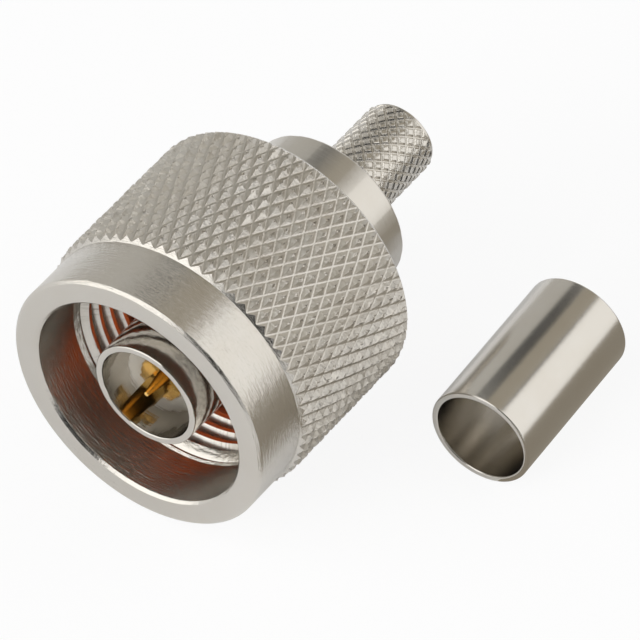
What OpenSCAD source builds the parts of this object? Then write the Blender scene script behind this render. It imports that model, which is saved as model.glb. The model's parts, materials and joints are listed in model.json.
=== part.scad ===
// Coaxial cable plug, N series, crimp type, with its crimp ferrule lying beside it.
// The plug lies along +Y: the mating face looks to -Y and the cable tail points to +Y.
// Origin: centre of the outer contact's front rim (the mating plane). +Z is up.

/* [Coupling nut] */
// Diameter of the plain band in front of the knurl
band_d = 19.9; // [18.6:0.1:24]
// Length of the plain band, from the front face to the foot of the knurl's cone
band_len = 4.35; // [2.5:0.05:7]
// Whole length of the nut
nut_len = 16.7; // [14.5:0.1:24]
// How far the nut stands ahead of the mating plane
nut_ahead = 0.95; // [0.2:0.05:2]
// Chamfer on the front face, outside and inside
face_chamfer = 0.22; // [0.05:0.01:0.5]
// Length of the rear hub that runs on the body's collar
hub_len = 4.5; // [3.4:0.1:7]

/* [Nut bore] */
// Diameter of the smooth bore ahead of the thread
counterbore_d = 16.1; // [16:0.05:17]
// Depth of the smooth bore from the front face
counterbore_len = 4; // [2.5:0.05:6]
// Length of the conical lead into the thread
lead_len = 0.9; // [0.4:0.05:1.5]
// Minor diameter of the coupling thread, 5/8-24 UNEF
thread_minor_d = 14.9; // [14.7:0.05:15.2]
// Major diameter of the coupling thread
thread_major_d = 15.88; // [15.6:0.02:15.96]
// Length of thread behind the lead
thread_len = 4.6; // [3:0.1:5]
// Radial relief behind the thread, beyond its major diameter
relief_depth = 0.15; // [0.05:0.05:0.5]

/* [Nut knurl] */
// Height of the knurl's points above the plain band
knurl_rise = 0.47; // [0.3:0.01:0.8]
// Depth of the knurl's grooves below its points
knurl_depth = 0.37; // [0.2:0.01:0.45]
// Grooves of each hand around the nut
knurl_count = 66; // [36:2:72]
// Distance between diamonds of one column, along the axis
knurl_pitch = 1.87; // [1.6:0.01:4]
// Slope of the cones at both ends of the knurl, from the axis
cone_angle = 43; // [30:1:60]
// Drop of the rear cone below the grooves
rear_drop = 0.18; // [0.05:0.01:0.3]

/* [Plug body] */
// Outside diameter of the outer contact sleeve
sleeve_d = 8; // [7.8:0.02:8.4]
// Bore of the outer contact sleeve
sleeve_bore_d = 7; // [6.6:0.05:7.3]
// Rounding of the sleeve's rim
rim_round = 0.12; // [0.04:0.01:0.2]
// Thickness of the flange
flange_len = 1.6; // [1:0.1:2.5]
// Depth of the bore behind the flange's rear face
bore_past_flange = 1.4; // [0.6:0.1:2.2]
// Diameter of the collar that the nut's hub runs on
collar_d = 12.04; // [11:0.02:13]
// Length of collar that shows behind the nut
collar_out = 5.25; // [2:0.05:10]
// Chamfer on the collar's rear edge
collar_chamfer = 0.12; // [0.05:0.01:0.5]

/* [Crimp tail] */
// Diameter over the tail knurl's points
tail_d = 5.6; // [5.2:0.02:6.2]
// Length of the tail behind the collar
tail_len = 8.4; // [6:0.1:16]
// Bore of the tail for the cable's dielectric
tail_bore_d = 4; // [3.2:0.05:4.2]
// Depth of the tail knurl's grooves
tail_knurl_depth = 0.17; // [0.08:0.01:0.25]
// Grooves of each hand around the tail
tail_knurl_count = 20; // [14:2:28]
// Distance between diamonds of one column, along the axis
tail_knurl_pitch = 0.955; // [0.8:0.005:2]
// Plain rounded end of the tail
tail_end = 0.3; // [0.2:0.05:1]

/* [Retaining ring] */
// Width of the ring along the axis
ring_w = 1; // [0.6:0.05:1.4]
// Radial thickness of the ring
ring_t = 1.1; // [0.8:0.05:1.4]
// Depth of the ring's groove in the collar
ring_groove_depth = 0.65; // [0.4:0.05:0.9]
// Width of the gap in the open ring
ring_gap = 2.4; // [1:0.1:5]

/* [Gasket] */
// Thickness of the gasket on the flange
gasket_len = 1.1; // [0.6:0.05:2]
// How far the gasket's edge lies within the flange's
gasket_inset = 0.1; // [0:0.05:1]
// Diameter of the boss that the gasket sits on
gasket_seat_d = 8.8; // [8.6:0.05:10]

/* [Contact and insulators] */
// Depth of the centre contact's tip behind the mating plane
tip_depth = 0.14; // [0:0.02:1]
// Diameter of the flat on the tip
tip_d = 0.32; // [0.1:0.02:0.6]
// Diameter of the mating pin
pin_d = 1.65; // [1.4:0.01:1.8]
// Length of the pin's long cone
pin_cone = 3.95; // [1:0.05:4.5]
// Depth of the contact's shoulder behind the mating plane
shoulder_depth = 5.35; // [5.2:0.05:6]
// Diameter of the contact behind its shoulder
contact_d = 3.04; // [2.6:0.02:3.4]
// How far the shoulder stands ahead of the front insulator
shoulder_out = 0.25; // [0:0.05:0.6]
// Diameter of the contact's flange
contact_flange_d = 3.9; // [3.6:0.05:5]
// Thickness of the contact's flange
contact_flange_len = 0.8; // [0.4:0.05:1.2]
// Diameter of the contact's rear barrel
barrel_d = 2.2; // [1.8:0.05:2.6]
// Length of the rear barrel behind the rear insulator
barrel_len = 3; // [2:0.1:5]
// Diameter of the chamber around the rear barrel
chamber_d = 5.2; // [4.4:0.05:6]
// Length of the chamber behind the rear barrel
chamber_past = 0.5; // [0.3:0.1:2]
// Diameter of the solder hole in the barrel
solder_d = 1.2; // [0.9:0.05:1.5]
// Diameter of the inspection hole in the side of the barrel
window_d = 0.8; // [0.5:0.05:1]
// Thickness of the rear insulator
rear_bead_len = 1.8; // [1:0.1:2.2]

/* [Crimp ferrule] */
// Outside diameter of the ferrule
ferrule_d = 7.54; // [6.9:0.02:9]
// Wall of the ferrule
ferrule_wall = 0.45; // [0.3:0.01:0.6]
// Length of the ferrule
ferrule_len = 12.55; // [8:0.05:20]
// Rounding of the ferrule's ends
ferrule_round = 0.15; // [0.05:0.01:0.2]
// Distance of the ferrule's front end behind the mating plane
ferrule_back = 14.6; // [0:0.1:30]
// Clear space in plan between the nut and the ferrule's front end
ferrule_clear = 2.45; // [1:0.05:12]
// Turn of the ferrule away from the plug's direction
ferrule_turn = 2.6; // [0:0.1:5]

/* [Fits] */
// Radial clearance of the flange inside the thread's crests
flange_clear = 0.2; // [0.1:0.05:0.4]
// Radial clearance of the nut's hub on the collar
hub_clear = 0.06; // [0.02:0.01:0.1]
// Axial play between the nut's shoulder and the flange
nut_play = 0.2; // [0.1:0.05:0.4]
// Side clearance of the ring in the collar's groove
ring_clear = 0.1; // [0.05:0.01:0.2]
// Radial clearance of the ring inside the nut's groove
ring_roof_clear = 0.2; // [0.1:0.05:0.4]

/* [Hidden] */
$fn = 96;
eps = 0.01;

// Places along the axis, measured from the mating plane
nut_front = -nut_ahead;
nut_rear = nut_front + nut_len;
cone_foot = nut_front + band_len;
counterbore_end = nut_front + counterbore_len;
thread_start = counterbore_end + lead_len;
thread_end = thread_start + thread_len;
hub_front = nut_rear - hub_len;
ring_mid = (hub_front + nut_rear) / 2;
flange_rear = hub_front - nut_play;
flange_front = flange_rear - flange_len;
collar_rear = nut_rear + collar_out;
tail_rear = collar_rear + tail_len;
bore_end = flange_rear + bore_past_flange;
bead_face = shoulder_depth + shoulder_out;
bead_joint = bore_end - rear_bead_len;
barrel_rear = bore_end + barrel_len;
chamber_end = barrel_rear + chamber_past;
gasket_front = flange_front - gasket_len;

// Radii that several pieces share
band_r = band_d / 2;
knurl_r = band_r + knurl_rise;
groove_r = knurl_r - knurl_depth;
rear_r = groove_r - rear_drop;
core_r = band_r - 0.25;
relief_r = thread_major_d / 2 + relief_depth;
hub_r = collar_d / 2 + hub_clear;
flange_r = thread_minor_d / 2 - flange_clear;
gasket_r = flange_r - gasket_inset;
ring_in_r = collar_d / 2 - ring_groove_depth;
ring_out_r = ring_in_r + ring_t;
ring_roof_r = ring_out_r + ring_roof_clear;
tail_r = tail_d / 2;
tail_groove_r = tail_r - tail_knurl_depth;
tail_core_r = tail_groove_r - 0.06;
tail_end_r = (tail_r + 2 * tail_groove_r) / 3;
ferrule_r = ferrule_d / 2;

// A valley of the nut's knurl stands this many degrees from the top, toward +X
knurl_phase = 1.94;
// Points of a quarter round on the edges of turned profiles
round_steps = 4;

// Stands a piece that is turned about Z along +Y.
module lengthwise() {
    rotate([-90, 0, 0]) children();
}

// Turns a half section of [radius, place along the axis] points.
module turned(section) {
    lengthwise() rotate_extrude() polygon(section);
}

// Quarter round of radius r about centre c, from angle a0 to a0 + 90.
function quarter(c, r, a0) =
    [for (k = [0 : round_steps]) let (a = a0 + 90 * k / round_steps) c + r * [cos(a), sin(a)]];

// One ring of points: even and odd points take their own [radius, place along the axis].
function ring_points(count, even, odd, phase) =
    [for (i = [0 : 2 * count - 1])
        let (a = phase + i * 180 / count, p = i % 2 == 0 ? even : odd)
        [p[0] * cos(a), p[0] * sin(a), p[1]]];

// Two triangles of the cell between rings j and j + 1; its diagonal joins the two valleys.
function cell_faces(j, next, i, m) =
    let (a = j * m + i, b = j * m + (i + 1) % m, c = next * m + (i + 1) % m, d = next * m + i)
    (i + j) % 2 == 0 ? [[a, c, b], [a, d, c]] : [[a, d, b], [b, d, c]];

// A sleeve of male diamond knurling about Z. Its skin runs through a grid of points that
// are valleys and peaks by turns, so each diamond is a four-sided pyramid. The ends are cut
// by cones of the given slopes, which run on down to front_r and rear_r, and the sleeve's
// inside at inner_r lies within the turned piece that carries it.
module diamond_knurl(peak_r, valley_r, inner_r, front_r, rear_r, z0, z1, count, pitch,
                     front_slope, rear_slope, phase) {
    front_z = z0 + (valley_r - front_r) / front_slope;
    rear_z = z1 - (valley_r - rear_r) / rear_slope;
    rows = max(3, round(2 * (rear_z - front_z) / pitch));
    step = (rear_z - front_z) / rows;
    depth = peak_r - valley_r;
    front_cut = depth / (front_slope + depth / step);
    rear_cut = depth / (rear_slope + depth / step);
    front_valley = [valley_r, front_z];
    front_ridge = [valley_r + front_slope * front_cut, front_z + front_cut];
    rear_valley = [valley_r, rear_z];
    rear_ridge = [valley_r + rear_slope * rear_cut, rear_z - rear_cut];
    function row(j) =
        let (z = front_z + j * step, swap = j % 2 == 1)
        ring_points(count, swap ? [peak_r, z] : [valley_r, z], swap ? [valley_r, z] : [peak_r, z], phase);
    function end_row(j, valley, ridge) =
        ring_points(count, j % 2 == 1 ? ridge : valley, j % 2 == 1 ? valley : ridge, phase);
    rings = [
        end_row(0, front_valley, front_ridge),
        for (j = [1 : rows - 1]) row(j),
        end_row(rows, rear_valley, rear_ridge),
        ring_points(count, [rear_r, z1], [rear_r, z1], phase),
        ring_points(count, [inner_r, z1], [inner_r, z1], phase),
        ring_points(count, [inner_r, z0], [inner_r, z0], phase),
        ring_points(count, [front_r, z0], [front_r, z0], phase),
    ];
    m = 2 * count;
    faces = [for (j = [0 : len(rings) - 1]) for (i = [0 : m - 1])
        each cell_faces(j, (j + 1) % len(rings), i, m)];
    polyhedron([for (r = rings) each r], faces);
}

module coupling_nut() {
    slope = tan(cone_angle);
    sunk = 0.15;
    color("#b3ada0") union() {
        difference() {
            turned([
                [counterbore_d / 2 + face_chamfer, nut_front],
                [band_r - face_chamfer, nut_front],
                [band_r, nut_front + face_chamfer],
                [band_r, cone_foot + sunk / 2],
                [core_r, cone_foot + sunk / 2],
                [core_r, nut_rear],
                [hub_r, nut_rear],
                [hub_r, hub_front],
                [relief_r, hub_front],
                [relief_r, thread_end],
                [thread_minor_d / 2, thread_end],
                [thread_minor_d / 2, thread_start],
                [counterbore_d / 2, counterbore_end],
                [counterbore_d / 2, nut_front + face_chamfer],
            ]);
            turned([
                [hub_r - 0.2, ring_mid - ring_w / 2 - ring_clear],
                [ring_roof_r, ring_mid - ring_w / 2 - ring_clear],
                [ring_roof_r, ring_mid + ring_w / 2 + ring_clear],
                [hub_r - 0.2, ring_mid + ring_w / 2 + ring_clear],
            ]);
        }
        lengthwise() diamond_knurl(
            peak_r = knurl_r, valley_r = groove_r, inner_r = core_r - 0.4,
            front_r = band_r - sunk * slope, rear_r = rear_r, z0 = cone_foot - sunk, z1 = nut_rear,
            count = knurl_count, pitch = knurl_pitch, front_slope = slope, rear_slope = slope,
            phase = knurl_phase - 90);
    }
}

module plug_body() {
    color("#b5afa3") union() {
        turned(concat(
            quarter([sleeve_bore_d / 2 + rim_round, rim_round], rim_round, 180),
            quarter([sleeve_d / 2 - rim_round, rim_round], rim_round, 270),
            [
                [sleeve_d / 2, gasket_front],
                [gasket_seat_d / 2, gasket_front],
                [gasket_seat_d / 2, flange_front],
                [flange_r, flange_front],
                [flange_r, flange_rear],
                [collar_d / 2, flange_rear],
                [collar_d / 2, ring_mid - ring_w / 2 - ring_clear],
                [ring_in_r, ring_mid - ring_w / 2 - ring_clear],
                [ring_in_r, ring_mid + ring_w / 2],
                [collar_d / 2, ring_mid + ring_w / 2],
                [collar_d / 2, collar_rear - collar_chamfer],
                [collar_d / 2 - collar_chamfer, collar_rear],
                [tail_core_r, collar_rear],
                [tail_core_r, tail_rear - tail_end],
                [tail_end_r, tail_rear - tail_end],
            ],
            quarter([tail_end_r - tail_end * 0.7, tail_rear - tail_end * 0.7], tail_end * 0.7, 0),
            [
                [tail_bore_d / 2, tail_rear],
                [tail_bore_d / 2, chamber_end],
                [chamber_d / 2, chamber_end],
                [chamber_d / 2, bore_end],
                [sleeve_bore_d / 2, bore_end],
            ]));
        lengthwise() diamond_knurl(
            peak_r = tail_r, valley_r = tail_groove_r, inner_r = tail_core_r - 0.15,
            front_r = tail_core_r - 0.05, rear_r = tail_core_r - 0.05,
            z0 = collar_rear - tail_knurl_pitch / 2, z1 = tail_rear - tail_end + 0.1,
            count = tail_knurl_count, pitch = tail_knurl_pitch, front_slope = 1, rear_slope = 1,
            phase = -90);
    }
}

// Open ring, half in the collar's groove and half in the nut's.
module snap_ring() {
    color("#a8843c") difference() {
        turned([
            [ring_in_r, ring_mid - ring_w / 2],
            [ring_out_r, ring_mid - ring_w / 2],
            [ring_out_r, ring_mid + ring_w / 2],
            [ring_in_r, ring_mid + ring_w / 2],
        ]);
        translate([-ring_gap / 2, ring_mid - ring_w, 0]) cube([ring_gap, 2 * ring_w, ring_out_r + 1]);
    }
}

module gasket() {
    color("#c8350a") turned([
        [gasket_seat_d / 2, gasket_front],
        [gasket_r, gasket_front],
        [gasket_r, flange_front],
        [gasket_seat_d / 2, flange_front],
    ]);
}

module front_insulator() {
    color("#f2f0ea") turned([
        [contact_d / 2, bead_face],
        [sleeve_bore_d / 2, bead_face],
        [sleeve_bore_d / 2, bead_joint],
        [contact_flange_d / 2, bead_joint],
        [contact_flange_d / 2, bead_joint - contact_flange_len],
        [contact_d / 2, bead_joint - contact_flange_len],
    ]);
}

module rear_insulator() {
    color("#eceae2") turned([
        [barrel_d / 2, bead_joint],
        [sleeve_bore_d / 2, bead_joint],
        [sleeve_bore_d / 2, bore_end],
        [barrel_d / 2, bore_end],
    ]);
}

module center_contact() {
    color("#d9a441") difference() {
        turned([
            [0, tip_depth],
            [tip_d / 2, tip_depth],
            [pin_d / 2, tip_depth + pin_cone],
            [pin_d / 2, shoulder_depth],
            [contact_d / 2, shoulder_depth],
            [contact_d / 2, bead_joint - contact_flange_len],
            [contact_flange_d / 2, bead_joint - contact_flange_len],
            [contact_flange_d / 2, bead_joint],
            [barrel_d / 2, bead_joint],
            [barrel_d / 2, barrel_rear],
            [0, barrel_rear],
        ]);
        translate([0, barrel_rear + eps, 0]) rotate([90, 0, 0])
            cylinder(d = solder_d, h = barrel_len + rear_bead_len / 2);
        translate([0, barrel_rear - barrel_len / 2, 0]) cylinder(d = window_d, h = barrel_d);
    }
}

module crimp_ferrule() {
    inner = ferrule_r - ferrule_wall;
    color("#b9b2a6")
        translate([knurl_r + ferrule_clear + ferrule_r, ferrule_back, ferrule_r - knurl_r])
        rotate([0, 0, ferrule_turn])
        turned(concat(
            [[inner, ferrule_len], [inner, 0]],
            quarter([ferrule_r - ferrule_round, ferrule_round], ferrule_round, 270),
            quarter([ferrule_r - ferrule_round, ferrule_len - ferrule_round], ferrule_round, 0)));
}

coupling_nut();
plug_body();
snap_ring();
gasket();
front_insulator();
rear_insulator();
center_contact();
crimp_ferrule();
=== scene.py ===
# %% [markdown]
# # A crimp plug for coaxial cable, with its loose ferrule
# The plug is turned from brass and nickel plated. A knurled nut spins on its body, a gold pin
# stands inside a bright sleeve, and a short knurled tail waits for the cable. The CAD file already
# holds every piece at its real size. Here each visible piece is made again with the knurls, the
# thread, the rounded edges and the finishes that make it look like metal.

# %% Load the solids
import json
import math

import bmesh
import bpy
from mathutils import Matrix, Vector

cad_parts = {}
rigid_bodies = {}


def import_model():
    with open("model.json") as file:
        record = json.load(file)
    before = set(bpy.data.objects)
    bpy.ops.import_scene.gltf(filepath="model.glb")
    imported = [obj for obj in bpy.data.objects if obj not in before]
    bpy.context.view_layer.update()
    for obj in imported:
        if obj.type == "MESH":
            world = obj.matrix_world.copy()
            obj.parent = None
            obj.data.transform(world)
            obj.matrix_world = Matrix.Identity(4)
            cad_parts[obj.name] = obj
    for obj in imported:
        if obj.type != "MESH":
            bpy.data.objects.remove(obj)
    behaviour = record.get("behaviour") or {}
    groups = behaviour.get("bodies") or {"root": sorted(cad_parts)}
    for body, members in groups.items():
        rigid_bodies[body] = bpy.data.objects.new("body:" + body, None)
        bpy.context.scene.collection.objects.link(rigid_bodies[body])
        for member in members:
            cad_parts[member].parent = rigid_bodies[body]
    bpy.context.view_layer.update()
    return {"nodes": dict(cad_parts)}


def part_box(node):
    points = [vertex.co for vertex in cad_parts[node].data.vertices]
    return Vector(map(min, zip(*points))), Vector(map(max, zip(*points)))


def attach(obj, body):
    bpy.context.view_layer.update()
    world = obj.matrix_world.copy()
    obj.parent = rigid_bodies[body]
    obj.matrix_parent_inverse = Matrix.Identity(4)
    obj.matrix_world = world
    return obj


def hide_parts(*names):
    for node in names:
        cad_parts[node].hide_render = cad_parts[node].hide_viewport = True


bpy.ops.object.select_all(action="SELECT")
bpy.ops.object.delete()
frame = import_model()
MM = 0.001


def solid_span(node):
    """Where a solid starts and ends along the plug's axis, and its largest radius, in mm."""
    low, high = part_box(node)
    return low.y / MM, high.y / MM, max(high.x - low.x, high.z - low.z) / 2 / MM


nut_front, nut_rear, nut_radius = solid_span("coupling_nut")
body_front, body_rear, _ = solid_span("plug_body")
print(f"nut from {nut_front:.2f} to {nut_rear:.2f} mm, {nut_radius:.2f} mm in radius")

# %% [markdown]
# ## Working unrolled
# Everything on a lathe is round, so every piece here is modelled flat and then rolled up, as if its
# skin had been slit and laid on the table: X runs round the piece, Y runs along its axis, and Z is
# the radius. A profile becomes a strip that is extruded from point to point. The Spin operator
# could turn a profile too, but it can't make a knurl or a thread, and flat work can: there a cone
# is a sloping plane, so one bisect cuts it through all the teeth at once. The Simple Deform
# modifier bends a sheet as well, but measures its angle from the sheet's own size, which a slanted
# sheet spoils, so a few lines of arithmetic do the rolling.

# %% Helpers for picking and for edit mode
TINY = 1e-4


def open_edit():
    bpy.ops.object.mode_set(mode="EDIT")


def close_edit():
    bpy.ops.object.mode_set(mode="OBJECT")


def pick(kind, test):
    """In edit mode, select the verts, edges or faces that pass a test, and nothing else."""
    bpy.ops.mesh.select_mode(type={"verts": "VERT", "edges": "EDGE", "faces": "FACE"}[kind])
    bpy.ops.mesh.select_all(action="DESELECT")
    mesh = bmesh.from_edit_mesh(bpy.context.edit_object.data)
    chosen = [item for item in getattr(mesh, kind) if test(item)]
    for item in chosen:
        item.select_set(True)
    mesh.select_flush_mode()
    bmesh.update_edit_mesh(bpy.context.edit_object.data)
    return len(chosen)


def follow(profile, at):
    """Extrude the selected edges from one [place, radius] to the next along a profile."""
    for place, radius in profile:
        step = (0, place - at[0], radius - at[1])
        bpy.ops.mesh.extrude_edges_move(TRANSFORM_OT_translate={"value": step})
        at = (place, radius)


def rounded(profile, radius, steps=3):
    """Replace each inner corner of a profile by a small arc, given by its first and last points."""
    points = [profile[0]]
    for before, corner, after in zip(profile, profile[1:], profile[2:]):
        here = Vector(corner)
        back, ahead = Vector(before) - here, Vector(after) - here
        reach = min(radius, 0.45 * back.length, 0.45 * ahead.length)
        start, end = here + back.normalized() * reach, here + ahead.normalized() * reach
        for k in range(steps + 1):
            t = k / steps
            points.append(tuple((1 - t) ** 2 * start + 2 * t * (1 - t) * here + t ** 2 * end))
    return points + [profile[-1]]


def roll_up(piece, radius):
    """Bend a flat sheet round the Y axis. X is the arc length at this radius, and Z the radius."""
    for vertex in piece.data.vertices:
        x, y, z = vertex.co
        vertex.co = (z * math.sin(x / radius), y, z * math.cos(x / radius))


def repeat(piece, count, step):
    """Copy a flat piece so many times, each copy one step in mm from the last."""
    bpy.ops.object.modifier_add(type="ARRAY")
    array = piece.modifiers[-1]
    array.use_relative_offset = False
    array.use_constant_offset = True
    array.constant_offset_displace = step
    array.count = count
    bpy.ops.object.modifier_apply(modifier=array.name)


def weld():
    """In edit mode, join what meets and turn all faces outwards."""
    bpy.ops.mesh.select_all(action="SELECT")
    bpy.ops.mesh.remove_doubles(threshold=10 * TINY)
    bpy.ops.mesh.normals_make_consistent(inside=False)


def is_open(edge):
    return len(edge.link_faces) == 1


def pick_rim(place):
    """In edit mode, select the open edges that lie at one place along the axis."""
    return pick("edges", lambda e: is_open(e) and all(
        abs(v.co.y - place) < 10 * TINY for v in e.verts))


def close_skin():
    """Bridge the two rims that are still open once a sheet is rolled up."""
    open_edit()
    weld()
    pick("edges", is_open)
    bpy.ops.mesh.bridge_edge_loops()
    weld()
    close_edit()


def settle(piece, body, node, crease=30):
    """Bring a finished piece to metres, smooth it up to its creases and tie it to the model."""
    piece.scale = (MM, MM, MM)
    bpy.ops.object.select_all(action="DESELECT")
    piece.select_set(True)
    bpy.context.view_layer.objects.active = piece
    bpy.ops.object.transform_apply(location=True, rotation=True, scale=True)
    bpy.ops.object.shade_smooth_by_angle(angle=math.radians(crease))
    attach(piece, body)
    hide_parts(node)
    loose = sum(count != 2 for count in faces_per_edge(piece.data))
    print(f"{piece.name}: {len(piece.data.polygons)} faces, {loose} edges without two faces")


def faces_per_edge(mesh):
    """How many faces each edge of a mesh has."""
    probe = bmesh.new()
    probe.from_mesh(mesh)
    counts = [len(edge.link_faces) for edge in probe.edges]
    probe.free()
    return counts


# %% [markdown]
# ## Turned pieces
# A plain turned piece needs no unrolling. A circle is its first edge, and each further point of its
# profile is one extrusion along the axis and one scaling to the new radius. Where the profile comes
# back to its first point the skin closes into a ring, and where it runs to the axis it closes into
# a solid.

# %% A circle extruded along a profile
TURN = 2 * math.pi


def turned(name, profile, around=128):
    """A lathe piece whose section is a list of [place, radius] points."""
    at = profile[0]
    bpy.ops.object.select_all(action="DESELECT")
    bpy.ops.mesh.primitive_circle_add(vertices=around, radius=max(at[1], TINY),
                                      rotation=(TURN / 4, 0, 0))
    piece = bpy.context.object
    piece.name = piece.data.name = name
    bpy.ops.object.transform_apply(location=False, rotation=True, scale=False)
    open_edit()
    bpy.ops.mesh.select_mode(type="EDGE")
    bpy.ops.mesh.select_all(action="SELECT")
    bpy.ops.transform.translate(value=(0, at[0], 0))
    for place, radius in profile[1:]:
        step = (0, place - at[0], 0)
        bpy.ops.mesh.extrude_edges_move(TRANSFORM_OT_translate={"value": step})
        share = max(radius, TINY) / max(at[1], TINY)
        bpy.ops.transform.resize(value=(share, 1, share), center_override=(0, place, 0))
        at = (place, radius)
    weld()
    close_edit()
    return piece


# %% [markdown]
# ## The knurl
# A diamond knurl is rolled, not cut: two hardened wheels press spiral grooves of both hands into
# the blank, and the metal between the grooves rises into little pyramids. So one diamond is
# modelled, with its share of the groove floors round it, and Array modifiers repeat it round the
# blank and along it. The copies share their edges, so they weld into one skin.

# %% One diamond, repeated into a sheet


def knurl_sheet(name, radius, around, pitch, first, phase, rows, insets, ragged):
    """A flat knurled sheet. insets are [inwards, upwards] steps from the groove floor's middle.
    A crossing of the grooves lies at the place first, phase degrees round from the top. ragged
    says how far below the tops the metal is worn, and by how much."""
    width = TURN * radius / around
    bpy.ops.object.select_all(action="DESELECT")
    bpy.ops.mesh.primitive_circle_add(vertices=4, radius=0.5, fill_type="NGON")
    sheet = bpy.context.object
    sheet.name = sheet.data.name = name
    open_edit()
    bpy.ops.mesh.select_mode(type="FACE")
    bpy.ops.mesh.select_all(action="SELECT")
    bpy.ops.transform.resize(value=(width, pitch, 1), center_override=(0, 0, 0))
    for inwards, upwards in insets:
        bpy.ops.mesh.inset(thickness=inwards, depth=upwards)
    bpy.ops.mesh.select_all(action="SELECT")
    start = (radius * math.radians(phase) - width, first - pitch / 2, radius)
    bpy.ops.transform.translate(value=start)
    close_edit()
    repeat(sheet, rows, (width / 2, pitch / 2, 0))
    repeat(sheet, around, (width, 0, 0))
    open_edit()
    bpy.ops.mesh.select_all(action="SELECT")
    bpy.ops.mesh.remove_doubles(threshold=10 * TINY)
    top = radius + sum(upwards for _, upwards in insets)
    pick("verts", lambda v: v.co.z > top - ragged[0])
    bpy.ops.transform.vertex_random(offset=ragged[1], uniform=1, normal=0, seed=7)
    close_edit()
    print(f"{name}: {len(sheet.data.polygons)} faces in {rows} rows of {around}")
    return sheet


def cut_sheet(place, radius, slope, forwards):
    """In edit mode, cut the sheet by the cone through [place, radius] and drop what it cuts off."""
    normal = (0, -slope, 1) if forwards else (0, slope, 1)
    bpy.ops.mesh.select_all(action="SELECT")
    bpy.ops.mesh.bisect(plane_co=(0, place, radius), plane_no=normal, clear_outer=True,
                        threshold=TINY)
    bpy.ops.mesh.select_all(action="DESELECT")


def pick_cut(place, radius, slope, forwards):
    """In edit mode, select the open edges that lie in that cone."""
    normal = Vector((0, -slope, 1) if forwards else (0, slope, 1)).normalized()
    origin = Vector((0, place, radius))
    return pick("edges", lambda e: is_open(e) and all(
        abs((v.co - origin).dot(normal)) < 10 * TINY for v in e.verts))


def run_down(place, radius, profile):
    """Extrude the selected ragged edge onto a clean line, and on along a profile."""
    bpy.ops.mesh.extrude_edges_move(TRANSFORM_OT_translate={"value": (0, 0, 0)})
    bpy.ops.transform.resize(value=(1, 0, 0), center_override=(0, place, radius))
    follow(profile, at=(place, radius))


# %% [markdown]
# ## The coupling nut
# The nut's band is plain and the knurl stands a little above it. Cones at both ends cut through
# the knurl, which gives the saw-toothed edge that a knurled nut always shows. From the cut, the
# skin runs on as a turned profile: over the band, round the front face and into the bore, and at
# the back down to the hub that spins on the body.

# %% Sizes of the nut
band_radius = nut_radius - 0.47
cone_foot = nut_front + 4.35
groove_radius = nut_radius - 0.37
cone_slope = math.tan(math.radians(43))
counterbore_radius = 8.05
hub_front, hub_radius, hub_corner = 11.25, 6.08, 0.1
bore_middle = 8.6
front_corner, rear_drop = 0.22, 0.18
ring_middle, ring_half = nut_rear - 2.25, 0.6
ring_groove_radius = 6.67
nut_diamonds, nut_pitch, nut_rows, nut_phase = 66, 1.89, 16, 1.94
nut_diamond = [(0.028, 0), (0.03, 0.009), (0.03, 0.024), (0.22, 0.235), (0.025, 0.02),
               (0.045, -0.07)]

# %% The nut's skin, laid flat
first_crossing = cone_foot + (groove_radius - band_radius) / cone_slope
nut = knurl_sheet("nut", groove_radius, nut_diamonds, nut_pitch, first_crossing, nut_phase,
                  nut_rows, nut_diamond, ragged=(0.03, 0.03))
rear_foot = (nut_rear, groove_radius - rear_drop)
open_edit()
cut_sheet(cone_foot, band_radius, cone_slope, True)
cut_sheet(*rear_foot, cone_slope, False)
front_profile = rounded([
    (cone_foot, band_radius),
    (nut_front + front_corner, band_radius),
    (nut_front, band_radius - front_corner),
    (nut_front, counterbore_radius + front_corner),
    (nut_front + front_corner, counterbore_radius),
    (bore_middle, counterbore_radius),
    (hub_front, counterbore_radius),
    (hub_front, hub_radius),
    (ring_middle - ring_half, hub_radius),
], 0.05)
rear_profile = rounded([
    rear_foot,
    (nut_rear, hub_radius + hub_corner),
    (nut_rear - hub_corner, hub_radius),
    (ring_middle + ring_half, hub_radius),
    (ring_middle + ring_half, ring_groove_radius),
    (ring_middle - ring_half, ring_groove_radius),
], 0.04)
print(pick_cut(cone_foot, band_radius, cone_slope, True), "edges at the front cut")
run_down(cone_foot, band_radius, front_profile[1:])
print(pick_cut(*rear_foot, cone_slope, False), "edges at the rear cut")
run_down(*rear_foot, rear_profile[1:])
close_edit()
roll_up(nut, groove_radius)
close_skin()
settle(nut, "nut", "coupling_nut")

# %% [markdown]
# ## The coupling thread
# The thread inside the nut is a 60 degree helix. Unrolled, it is a corrugated sheet whose ridges
# climb by one pitch from its left edge to its right. The lead-in cone is once more a sloping
# plane: one bisect marks where it meets the ridges, and what lies under it is lifted up to it, so
# the first turn gets its true, fading start. The sheet closes into a thin sleeve that is seated in
# the nut's bore.

# %% Sizes of the thread
thread_pitch = 25.4 / 24
thread_minor, thread_major = 7.45, 7.94
lead_start, lead_end = 3.05, 3.95
thread_rear, thread_turns = 7.6, 10
sleeve_wall, last_drop = 0.3, 0.05

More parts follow.
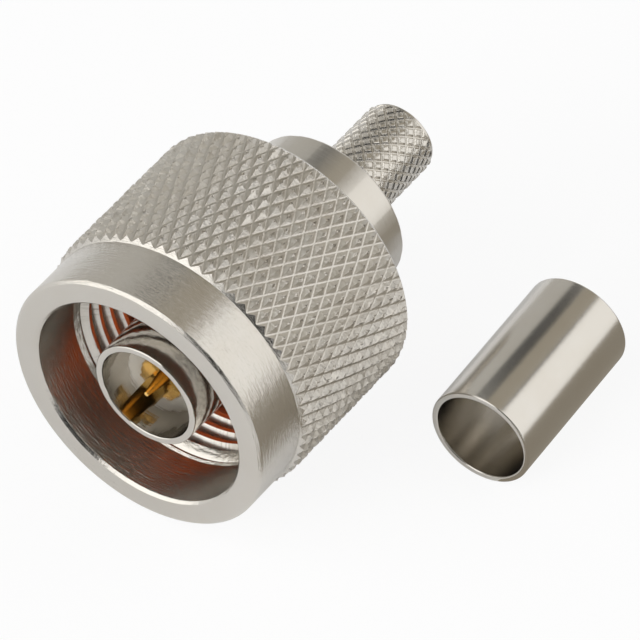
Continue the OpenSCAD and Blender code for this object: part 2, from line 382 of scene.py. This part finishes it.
# %% The corrugated sheet
crest, root = 0.25 * thread_pitch, 0.125 * thread_pitch
flank = (thread_pitch - crest - root) / 2
turn_steps = 144
bpy.ops.object.select_all(action="DESELECT")
bpy.ops.mesh.primitive_grid_add(x_subdivisions=1, y_subdivisions=4, size=2)
thread = bpy.context.object
thread.name = thread.data.name = "nut_thread"
ridge = [(0, thread_minor), (crest, thread_minor), (crest + flank, thread_major),
         (crest + flank + root, thread_major), (thread_pitch, thread_minor)]
open_edit()
for row, (place, radius) in enumerate(ridge):
    level = -1 + row / 2
    pick("verts", lambda v: v.co.z == 0 and abs(v.co.y - level) < 0.01)
    bpy.ops.transform.translate(value=(0, place - level, radius))
bpy.ops.mesh.select_all(action="SELECT")
bpy.ops.transform.resize(value=(TURN / 2 / turn_steps, 1, 1), center_override=(0, 0, 0))
climb = thread_pitch / turn_steps
pick("verts", lambda v: v.co.x > 0)
bpy.ops.transform.translate(value=(0, climb, 0))
close_edit()
repeat(thread, turn_steps, (TURN / turn_steps, climb, 0))
repeat(thread, thread_turns, (0, thread_pitch, 0))

# %% The lead-in, the rear end and the sleeve's back
lead_slope = (counterbore_radius - thread_minor) / (lead_end - lead_start)
sleeve_back = counterbore_radius + sleeve_wall


def lead_cone(place):
    """The lead-in cone's radius at a place along the axis."""
    return counterbore_radius - (place - lead_start) * lead_slope


open_edit()
bpy.ops.mesh.select_all(action="SELECT")
bpy.ops.mesh.remove_doubles(threshold=TINY)
for place, normal, outer in ((lead_start, (0, -1, 0), True), (thread_rear, (0, 1, 0), True),
                             (lead_start, (0, lead_slope, 1), False)):
    bpy.ops.mesh.select_all(action="SELECT")
    bpy.ops.mesh.bisect(plane_co=(0, place, counterbore_radius), plane_no=normal,
                        clear_outer=outer, threshold=TINY)
close_edit()
for vertex in thread.data.vertices:
    vertex.co.z = max(vertex.co.z, lead_cone(vertex.co.y))
open_edit()
for place, radius in ((lead_start, counterbore_radius),
                      (thread_rear, counterbore_radius - last_drop)):
    print(f"{pick_rim(place)} edges at {place} mm")
    run_down(place, radius, [(place, sleeve_back)])
close_edit()
roll_up(thread, 1)
close_skin()
settle(thread, "nut", "coupling_nut")

# %% [markdown]
# ## The body
# The body is one turned piece too, from the thin sleeve at the front to the knurled tail at the
# back. Its tail's knurl is shallower than the nut's and leaves flat tops: it only has to grip the
# braid. The sheet for the tail is made first, and the rest of the body runs on from its two ends.

# %% Sizes of the body
collar_radius, collar_rear, collar_corner = 6.02, 21.0, 0.12
ring_seat_radius, ring_seat_rear = 5.37, ring_middle + 0.5
tail_radius, tail_groove, tail_rise = 2.8, 2.63, 0.08
tail_slant, tail_corner = 0.23, 0.1
tail_diamonds, tail_pitch, tail_rows = 20, 0.955, 22
tail_bore, sleeve_radius, sleeve_bore = 2.0, 4.0, 3.5
flange_radius, flange_front, flange_rear = 7.25, 9.45, 11.05
gasket_front, gasket_seat = 8.35, 4.4
bead_rear, chamber_rear, chamber_radius = 12.45, 15.95, 2.6
tail_diamond = [(0.015, 0), (0.02, 0.012), (0.065, 0.09), (0.03, 0.035), (0.035, 0.018)]

# %% The body's skin, laid flat
body = knurl_sheet("body", tail_groove, tail_diamonds, tail_pitch, collar_rear, 0, tail_rows,
                   tail_diamond, ragged=(0.01, 0.006))
tail_foot = (body_rear - tail_slant, tail_groove)
collar_foot = (collar_rear, tail_radius + tail_rise)
open_edit()
bpy.ops.mesh.select_all(action="SELECT")
bpy.ops.mesh.bisect(plane_co=(0, collar_rear, 0), plane_no=(0, -1, 0), clear_outer=True,
                    threshold=TINY)
cut_sheet(*tail_foot, 1, False)
body_profile = rounded([
    collar_foot,
    (collar_rear, collar_radius - collar_corner),
    (collar_rear - collar_corner, collar_radius),
    (ring_seat_rear, collar_radius),
    (ring_seat_rear, ring_seat_radius),
    (ring_middle - ring_half, ring_seat_radius),
    (ring_middle - ring_half, collar_radius),
    (flange_rear, collar_radius),
    (flange_rear, flange_radius),
    (flange_front, flange_radius),
    (flange_front, gasket_seat),
    (gasket_front, gasket_seat),
    (gasket_front, sleeve_radius),
    (body_front, sleeve_radius),
    (body_front, sleeve_bore),
    (bead_rear, sleeve_bore),
    (bead_rear, chamber_radius),
    (chamber_rear, chamber_radius),
    (chamber_rear, tail_bore),
], 0.14, steps=5)
tail_profile = rounded([
    tail_foot,
    (body_rear, tail_groove),
    (body_rear, tail_bore + tail_corner),
    (body_rear - tail_corner, tail_bore),
    (chamber_rear + 1, tail_bore),
], 0.2, steps=5)
print(pick_rim(collar_rear), "edges at the collar")
run_down(*collar_foot, body_profile[1:])
print(pick_cut(*tail_foot, 1, False), "edges at the tail's end")
run_down(*tail_foot, tail_profile[1:])
close_edit()
roll_up(body, tail_groove)
close_skin()
settle(body, "plug", "plug_body")

# %% [markdown]
# ## The centre contact
# The contact is one gold-plated pin: a long cone to a fine tip, a shoulder that the bead holds, a
# locating ridge and a hollow barrel for the cable's core. It could be stacked from cones and
# cylinders, but one profile turned round the axis gives a single closed skin whose corners can
# all be rounded, and a fine round on each corner is what catches the light.

# %% The contact
tip_place, tip_radius, pin_radius = 0.14, 0.16, 0.825
cone_length = 3.95
shoulder_front, shoulder_radius = 5.35, 1.52
ridge_front, ridge_rear, ridge_radius = 9.85, 10.65, 1.95
barrel_rear, barrel_radius, solder_front, solder_radius = 15.45, 1.1, 11.55, 0.6
contact_profile = rounded([
    (tip_place, 0),
    (tip_place, tip_radius),
    (tip_place + cone_length, pin_radius),
    (shoulder_front, pin_radius),
    (shoulder_front, shoulder_radius),
    (ridge_front, shoulder_radius),
    (ridge_front, ridge_radius),
    (ridge_rear, ridge_radius),
    (ridge_rear, barrel_radius),
    (barrel_rear, barrel_radius),
    (barrel_rear, solder_radius),
    (solder_front, solder_radius),
    (solder_front, 0),
], 0.06)
contact = turned("contact", contact_profile, around=64)
settle(contact, "plug", "center_contact")

# %% [markdown]
# ## The front bead
# The bead is a ring of white fluoroplastic that centres the contact in the sleeve. It takes its
# bore and its step from the contact, so the two fit. Its profile starts in the middle of the
# straight bore and comes back to it: rounded() leaves the first and last points alone, and there
# a corner isn't missed.

# %% The bead
bead_front, bead_seam = 5.6, 8.0
bead_profile = rounded([
    (bead_seam, shoulder_radius),
    (bead_front, shoulder_radius),
    (bead_front, sleeve_bore),
    (ridge_rear, sleeve_bore),
    (ridge_rear, ridge_radius),
    (ridge_front, ridge_radius),
    (ridge_front, shoulder_radius),
    (bead_seam, shoulder_radius),
], 0.08)
bead = turned("bead", bead_profile, around=96)
settle(bead, "plug", "front_insulator")

# %% [markdown]
# ## The gasket
# A flat silicone ring on the body's flange seals the coupling. A torus would be round in section
# and a plain tube would have hard edges. A small rectangle with generous rounds, turned round the
# axis, has the soft look of a moulded or punched ring.

# %% The gasket's ring
gasket_seam, gasket_radius = 8.9, 7.15
gasket_profile = rounded([
    (gasket_seam, gasket_seat),
    (gasket_front, gasket_seat),
    (gasket_front, gasket_radius),
    (flange_front, gasket_radius),
    (flange_front, gasket_seat),
    (gasket_seam, gasket_seat),
], 0.25)
gasket = turned("seal", gasket_profile, around=128)
settle(gasket, "plug", "gasket")

# %% [markdown]
# ## The ferrule
# The ferrule is a thin drawn tube with rolled edges, taken off and laid beside the plug. It is
# turned at the origin like the rest, then turned a little and moved to its place on the floor.

# %% The ferrule's tube
ferrule_length, ferrule_radius, ferrule_bore, ferrule_seam = 12.55, 3.77, 3.32, 6
ferrule_place, ferrule_turn = (16.64, 14.6, -6.65), 2.6
ferrule_profile = rounded([
    (ferrule_seam, ferrule_bore),
    (0, ferrule_bore),
    (0, ferrule_radius),
    (ferrule_length, ferrule_radius),
    (ferrule_length, ferrule_bore),
    (ferrule_seam, ferrule_bore),
], 0.15, steps=5)
ferrule = turned("ferrule", ferrule_profile, around=160)
ferrule.rotation_euler.z = math.radians(ferrule_turn)
ferrule.location = Vector(ferrule_place) * MM
settle(ferrule, "plug", "crimp_ferrule")

# %% [markdown]
# ## Materials
# Nickel plate on turned brass isn't a mirror. The lathe tool leaves fine rings that draw each
# reflection out into streaks, the plate has faint clouds of warmer and cooler grey, and the rolled
# diamonds are a little rough. All of it is noise on Object coordinates. For the rings the noise
# is stretched round the axis: it is read at the direction from the axis, which changes slowly,
# and at the place along the profile, which changes fast.

# %% Helpers for node trees
RADIUS_SHARE = 0.7


def new_shader(name, colour, roughness, metallic=1):
    """A Principled material. Returns it with its node tree and its shader."""
    material = bpy.data.materials.new(name)
    material.use_nodes = True
    shader = material.node_tree.nodes["Principled BSDF"]
    shader.inputs["Base Color"].default_value = (*colour, 1)
    shader.inputs["Metallic"].default_value = metallic
    shader.inputs["Roughness"].default_value = roughness
    return material, material.node_tree, shader


def maths(tree, operation, *values):
    """A Math node on sockets or plain numbers. Returns its output."""
    node = tree.nodes.new("ShaderNodeMath")
    node.operation = operation
    for socket, value in zip(node.inputs, values):
        if isinstance(value, (int, float)):
            socket.default_value = value
        else:
            tree.links.new(value, socket)
    return node.outputs[0]


def own_place(tree, place, turn):
    """Where a point lies on the piece, in mm from a place on its axis, with Y along the axis."""
    where = tree.nodes.new("ShaderNodeTexCoord")
    mapping = tree.nodes.new("ShaderNodeMapping")
    mapping.vector_type = "TEXTURE"
    mapping.inputs["Location"].default_value = Vector(place) * MM
    mapping.inputs["Rotation"].default_value = (0, 0, math.radians(turn))
    mapping.inputs["Scale"].default_value = (MM, MM, MM)
    tree.links.new(where.outputs["Object"], mapping.inputs["Vector"])
    return mapping.outputs["Vector"]


def noise(tree, vector, scale, detail, rough):
    """A cloudy value of 0 to 1 that depends on a place in mm."""
    node = tree.nodes.new("ShaderNodeTexNoise")
    node.inputs["Scale"].default_value = scale
    node.inputs["Detail"].default_value = detail
    node.inputs["Roughness"].default_value = rough
    tree.links.new(vector, node.inputs["Vector"])
    return node.outputs["Fac"]


def ring_place(tree, vector, slow, fast):
    """Stretch a place round the Y axis, so that noise on it turns into rings. The radius counts
    too, by RADIUS_SHARE, so that a flat face gets its rings as well."""
    split = tree.nodes.new("ShaderNodeSeparateXYZ")
    tree.links.new(vector, split.inputs[0])
    x, y, z = split.outputs
    radius = maths(tree, "SQRT", maths(tree, "ADD", maths(tree, "MULTIPLY", x, x),
                                       maths(tree, "MULTIPLY", z, z)))
    along = maths(tree, "ADD", y, maths(tree, "MULTIPLY", radius, RADIUS_SHARE))
    join = tree.nodes.new("ShaderNodeCombineXYZ")
    turned_x = maths(tree, "MULTIPLY", maths(tree, "DIVIDE", x, radius), slow)
    turned_z = maths(tree, "MULTIPLY", maths(tree, "DIVIDE", z, radius), slow)
    stretched = maths(tree, "MULTIPLY", along, fast)
    for socket, value in zip(join.inputs, (turned_x, stretched, turned_z)):
        tree.links.new(value, socket)
    return join.outputs[0]


def bump(tree, shader, height, depth):
    """Raise the surface by a height of 0 to 1 times a depth in mm."""
    node = tree.nodes.new("ShaderNodeBump")
    node.inputs["Strength"].default_value = 1
    node.inputs["Distance"].default_value = depth * MM
    tree.links.new(height, node.inputs["Height"])
    tree.links.new(node.outputs[0], shader.inputs["Normal"])


def clouds(tree, shader, vector, first, second, scale):
    """Let the colour drift between two tones."""
    ramp = tree.nodes.new("ShaderNodeMix")
    ramp.data_type = "RGBA"
    ramp.inputs["A"].default_value = (*first, 1)
    ramp.inputs["B"].default_value = (*second, 1)
    tree.links.new(noise(tree, vector, scale, 4, 0.6), ramp.inputs["Factor"])
    tree.links.new(ramp.outputs["Result"], shader.inputs["Base Color"])


# %% [markdown]
# ## Nickel, gold and bronze
# One recipe serves all the plated metal. A polished sleeve has faint rings and low roughness, a
# turned nut has deeper ones, and where the knurling wheels have pressed the metal the rings give
# way to an even grain. Anisotropic shading could draw the streaks too, but it needs tangents
# round each piece, and real relief also breaks up the edges of the reflections.

# %% Metals
COOL_NICKEL, WARM_NICKEL = (0.66, 0.64, 0.60), (0.61, 0.57, 0.51)


def turned_metal(name, first, second, roughness, slow, fast, depth, place=(0, 0, 0), turn=0):
    """Plated metal with the lathe's rings in it."""
    material, tree, shader = new_shader(name, first, roughness)
    vector = own_place(tree, place, turn)
    clouds(tree, shader, vector, first, second, 0.35)
    rings = noise(tree, ring_place(tree, vector, slow, fast), 1, 3, 0.6)
    bump(tree, shader, rings, depth)
    return material


def rolled_metal(name, first, second, roughness, grain, depth):
    """Plated metal with the grain that a knurling wheel leaves."""
    material, tree, shader = new_shader(name, first, roughness)
    vector = own_place(tree, (0, 0, 0), 0)
    clouds(tree, shader, vector, first, second, 0.35)
    bump(tree, shader, noise(tree, vector, grain, 3, 0.6), depth)
    return material


nut_turned = turned_metal("nut_turned", COOL_NICKEL, WARM_NICKEL, 0.25, 9, 7, 0.05)
nut_rolled = rolled_metal("nut_rolled", COOL_NICKEL, WARM_NICKEL, 0.3, 6, 0.05)
body_turned = turned_metal("body_turned", COOL_NICKEL, WARM_NICKEL, 0.28, 6, 6, 0.015)
sleeve_polished = turned_metal("sleeve_polished", COOL_NICKEL, WARM_NICKEL, 0.07, 4, 5, 0.003)
tail_rolled = rolled_metal("tail_rolled", COOL_NICKEL, WARM_NICKEL, 0.25, 7, 0.012)
ferrule_drawn = turned_metal("ferrule_drawn", COOL_NICKEL, WARM_NICKEL, 0.2, 8, 3, 0.004,
                             ferrule_place, ferrule_turn)
gold_plate = turned_metal("gold_plate", (0.90, 0.60, 0.20), (0.84, 0.50, 0.13), 0.16, 3, 9, 0.002)
spring_bronze = turned_metal("spring_bronze", (0.66, 0.47, 0.24), (0.58, 0.38, 0.18), 0.35, 6, 9,
                             0.004)

# %% [markdown]
# ## Silicone and fluoroplastic
# The gasket is opaque orange-red silicone and the beads are white fluoroplastic. Neither is one
# flat colour: it drifts faintly, and a fine grain from the mould or the tool softens the shine.
# Light scattered under the surface would add little on pieces this small and this deep inside.

# %% Polymers


def soft_polymer(name, first, second, roughness, grain, depth):
    """A polymer with faint clouds in its colour and a fine grain from its mould or tool."""
    material, tree, shader = new_shader(name, first, roughness, metallic=0)
    vector = own_place(tree, (0, 0, 0), 0)
    clouds(tree, shader, vector, first, second, 0.6)
    bump(tree, shader, noise(tree, vector, grain, 3, 0.6), depth)
    return material


silicone = soft_polymer("red_silicone", (0.90, 0.16, 0.012), (0.80, 0.11, 0.006), 0.38, 5, 0.01)
fluoroplastic = soft_polymer("white_fluoroplastic", (0.86, 0.85, 0.82), (0.80, 0.79, 0.76), 0.4, 4,
                             0.008)


# %% [markdown]
# ## Putting the materials on
# Most pieces have one finish. The nut has two, as its diamonds are rolled and the rest is turned,
# and the body has three, with a bright sleeve and a rolled tail. The faces are picked by where
# they lie, so each border falls on an edge of the mesh.

# %% Materials on pieces


MARGIN = 0.01


def paint(piece, material):
    piece.data.materials.clear()
    piece.data.materials.append(material)


def paint_part(piece, material, test):
    """Give the faces that pass a test a second material."""
    bpy.ops.object.select_all(action="DESELECT")
    piece.select_set(True)
    bpy.context.view_layer.objects.active = piece
    piece.data.materials.append(material)
    piece.active_material_index = len(piece.data.materials) - 1
    open_edit()
    count = pick("faces", test)
    bpy.ops.object.material_slot_assign()
    close_edit()
    print(f"{piece.name}: {count} faces in {material.name}")


def far_out(face, radius):
    """Is all of a face further than this from the plug's axis, in mm?"""
    return all(math.hypot(v.co.x, v.co.z) > (radius - MARGIN) * MM for v in face.verts)


def in_front(face, place):
    """Does all of a face lie in front of a place along the axis, in mm?"""
    return max(v.co.y for v in face.verts) < (place + MARGIN) * MM


def on_sleeve(face):
    """Is a face on the bright sleeve's outside, or in its bore as far as the bead's rear end?"""
    starts_in_bore = min(v.co.y for v in face.verts) < bead_rear * MM
    inside = not far_out(face, sleeve_bore + 0.1) and starts_in_bore
    return in_front(face, gasket_front) or inside


def on_tail(face):
    """Is a face on the tail's knurl?"""
    starts_at_tail = min(v.co.y for v in face.verts) > (collar_rear - MARGIN) * MM
    return starts_at_tail and far_out(face, tail_groove)


for piece, material in ((nut, nut_turned), (thread, nut_turned), (body, body_turned),
                        (ferrule, ferrule_drawn), (contact, gold_plate), (bead, fluoroplastic),
                        (gasket, silicone), (frame["nodes"]["rear_insulator"], fluoroplastic),
                        (frame["nodes"]["snap_ring"], spring_bronze)):
    paint(piece, material)
paint_part(nut, nut_rolled, lambda f: far_out(f, groove_radius))
paint_part(body, sleeve_polished, on_sleeve)
paint_part(body, tail_rolled, on_tail)

# %% [markdown]
# ## The studio
# The plug lies on a pale sheet under soft light. Metal shows its surroundings, so a studio hangs
# white and grey cards round it and a dark strip or two, which give each cylinder its bright and
# dark bands. Here the lamps light what is dull, and cards that only reflections see stand in for
# the studio's cards. All of them hang parallel to the plug, at an angle round it from the top
# towards +X, and at a slope forwards or backwards along it.

# %% Floor and world
floor_level = -nut_radius * MM
bpy.ops.mesh.primitive_plane_add(size=6, location=(0, 0, floor_level))
floor = bpy.context.object
floor.name = "floor"


def seen_white(tree, dim_shader, camera_share, mirror_share):
    """Blend a shader towards plain white for camera rays, and for glossy and transmission rays."""
    rays = tree.nodes.new("ShaderNodeLightPath")
    mirrored = maths(tree, "MAXIMUM", rays.outputs["Is Glossy Ray"],
                     rays.outputs["Is Transmission Ray"])
    amount = maths(tree, "MAXIMUM",
                   maths(tree, "MULTIPLY", rays.outputs["Is Camera Ray"], camera_share),
                   maths(tree, "MULTIPLY", mirrored, mirror_share))
    mix = tree.nodes.new("ShaderNodeMixShader")
    tree.links.new(amount, mix.inputs["Fac"])
    tree.links.new(dim_shader.outputs[0], mix.inputs[1])
    return mix


floor_look = bpy.data.materials.new("pale_floor")
floor_look.use_nodes = True
tree = floor_look.node_tree
tree.nodes.clear()
paper = tree.nodes.new("ShaderNodeBsdfDiffuse")
paper.inputs["Color"].default_value = (0.9, 0.9, 0.9, 1)
glow = tree.nodes.new("ShaderNodeEmission")
glow.inputs["Color"].default_value = (1, 1, 1, 1)
mix = seen_white(tree, paper, 0.9, 0.2)
tree.links.new(glow.outputs[0], mix.inputs[2])
out = tree.nodes.new("ShaderNodeOutputMaterial")
tree.links.new(mix.outputs[0], out.inputs["Surface"])
floor.data.materials.append(floor_look)

world = bpy.data.worlds.new("studio")
bpy.context.scene.world = world
world.use_nodes = True
tree = world.node_tree
tree.nodes.clear()
dim = tree.nodes.new("ShaderNodeBackground")
dim.inputs["Strength"].default_value = 0.45
white = tree.nodes.new("ShaderNodeBackground")
mix = seen_white(tree, dim, 1, 1)
tree.links.new(white.outputs[0], mix.inputs[2])
out = tree.nodes.new("ShaderNodeOutputWorld")
tree.links.new(mix.outputs[0], out.inputs["Surface"])

# %% [markdown]
# ## Lamps and cards
# Two big soft lamps and a small one before the nut's mouth light the dull things. A mirror would
# see a lamp added to the bright world behind it and burn out, so the lamps are hidden from
# reflections, and each has a card in its place that only reflections see. A card's level is then
# simply the tone that the metal shows, times the metal's own colour.

# %% Hanging lamps and cards


def hang(thing, start, end, near, far, distance=1.0):
    """Hang a 1 m square thing parallel to the plug, between two angles round it and between two
    slopes along it. Its front faces the plug. Returns its width and length."""
    middle = math.radians((start + end) / 2)
    half = math.tan(math.radians((end - start) / 2)) * distance
    thing.location = (distance * math.sin(middle), (near + far) / 2, distance * math.cos(middle))
    thing.rotation_euler = (0, middle, 0)
    return 2 * half, far - near


def lamp(name, level, *place):
    """A soft lamp that dull surfaces see and mirrors don't."""
    bpy.ops.object.light_add(type="AREA")
    light = bpy.context.object
    light.name = name
    width, length = hang(light, *place)
    light.data.shape = "RECTANGLE"
    light.data.size, light.data.size_y = width, length
    light.data.energy = level * math.pi * width * length
    hide_from_mirrors(light)


def hide_from_mirrors(light):
    light.visible_camera = False
    light.visible_glossy = False


def mirror_only(board, colour):
    """Make a board glow in a colour, for reflections alone."""
    look = bpy.data.materials.new(board.name)
    look.use_nodes = True
    look.node_tree.nodes.clear()
    shine = look.node_tree.nodes.new("ShaderNodeEmission")
    shine.inputs["Color"].default_value = (*colour, 1)
    out = look.node_tree.nodes.new("ShaderNodeOutputMaterial")
    look.node_tree.links.new(shine.outputs[0], out.inputs["Surface"])
    board.data.materials.append(look)
    for kind in ("camera", "diffuse", "shadow", "transmission", "volume_scatter"):
        setattr(board, "visible_" + kind, False)


def card(name, colour, *place):
    """A card that mirrors see in its own place."""
    bpy.ops.mesh.primitive_plane_add(size=1)
    board = bpy.context.object
    board.name = name
    width, length = hang(board, *place)
    board.scale = (width, length, 1)
    mirror_only(board, colour)


# %% The lamps
lamp("right_lamp", 1.1, 27, 91, 0.1, 1.6)
lamp("front_lamp", 1.4, -95, 10, -2.6, -0.3)
mouth_level, mouth_size = 6, 0.7
bpy.ops.object.light_add(type="AREA", location=(-0.3, -1.2, 0.45),
                         rotation=(math.radians(70), 0, math.radians(-14)))
mouth_lamp = bpy.context.object
mouth_lamp.name = "mouth_lamp"
mouth_lamp.data.size = mouth_size
mouth_lamp.data.energy = mouth_level * math.pi * mouth_size ** 2
hide_from_mirrors(mouth_lamp)

# %% The cards
card("left_card", (0.58, 0.57, 0.54), -150, -12, -0.3, 3)
card("dark_strip", (0.07, 0.07, 0.07), -38, -12, 0.5, 0.9, 0.9)
card("top_card", (0.42, 0.385, 0.32), -12, 22, -0.3, 3)
card("dark_edge", (0.1, 0.1, 0.1), 21, 26, 0.5, 0.9, 0.9)
card("right_card", (1.2, 1.19, 1.17), 22, 92, -0.2, 2)
card("front_card", (1.7, 1.7, 1.68), -95, 11, -3, -0.3)
card("front_dark", (0.03, 0.03, 0.03), 12, 92, -4, -0.2)
# A grey sheet just above the floor, on the plug's right and rear, glows for reflections alone. It
# is a painted reflection: the metal's sides show it as a darker floor there, while the camera and
# the light see only the pale floor.
sheet_size, sheet_lift = 0.4, 0.1 * MM
bpy.ops.mesh.primitive_plane_add(size=sheet_size,
                                 location=(0.218, 0.19, floor_level + sheet_lift))
reflected_dark_floor = bpy.context.object
reflected_dark_floor.name = "reflected_dark_floor"
mirror_only(reflected_dark_floor, (0.33, 0.30, 0.25))

# %% [markdown]
# ## The camera
# It looks down on the plug's mouth from its front right. A long lens from far off keeps the two
# pieces' sides nearly parallel, as they are in a product picture.

# %% Camera
view_turn, view_tilt = math.radians(35.1), math.radians(46.5)
view_distance = 446.2 * MM
aim = Vector((7.28, 9.51, 3.41)) * MM
away = Vector((math.sin(view_turn) * math.cos(view_tilt),
               -math.cos(view_turn) * math.cos(view_tilt), math.sin(view_tilt)))
bpy.ops.object.camera_add(location=aim + away * view_distance,
                          rotation=(math.pi / 2 - view_tilt, 0, view_turn))
camera = bpy.context.object
camera.data.lens = 385
camera.data.sensor_width = 36
camera.data.clip_start = 0.01
camera.data.clip_end = 20
bpy.context.scene.camera = camera
bpy.context.scene.view_settings.view_transform = "Standard"
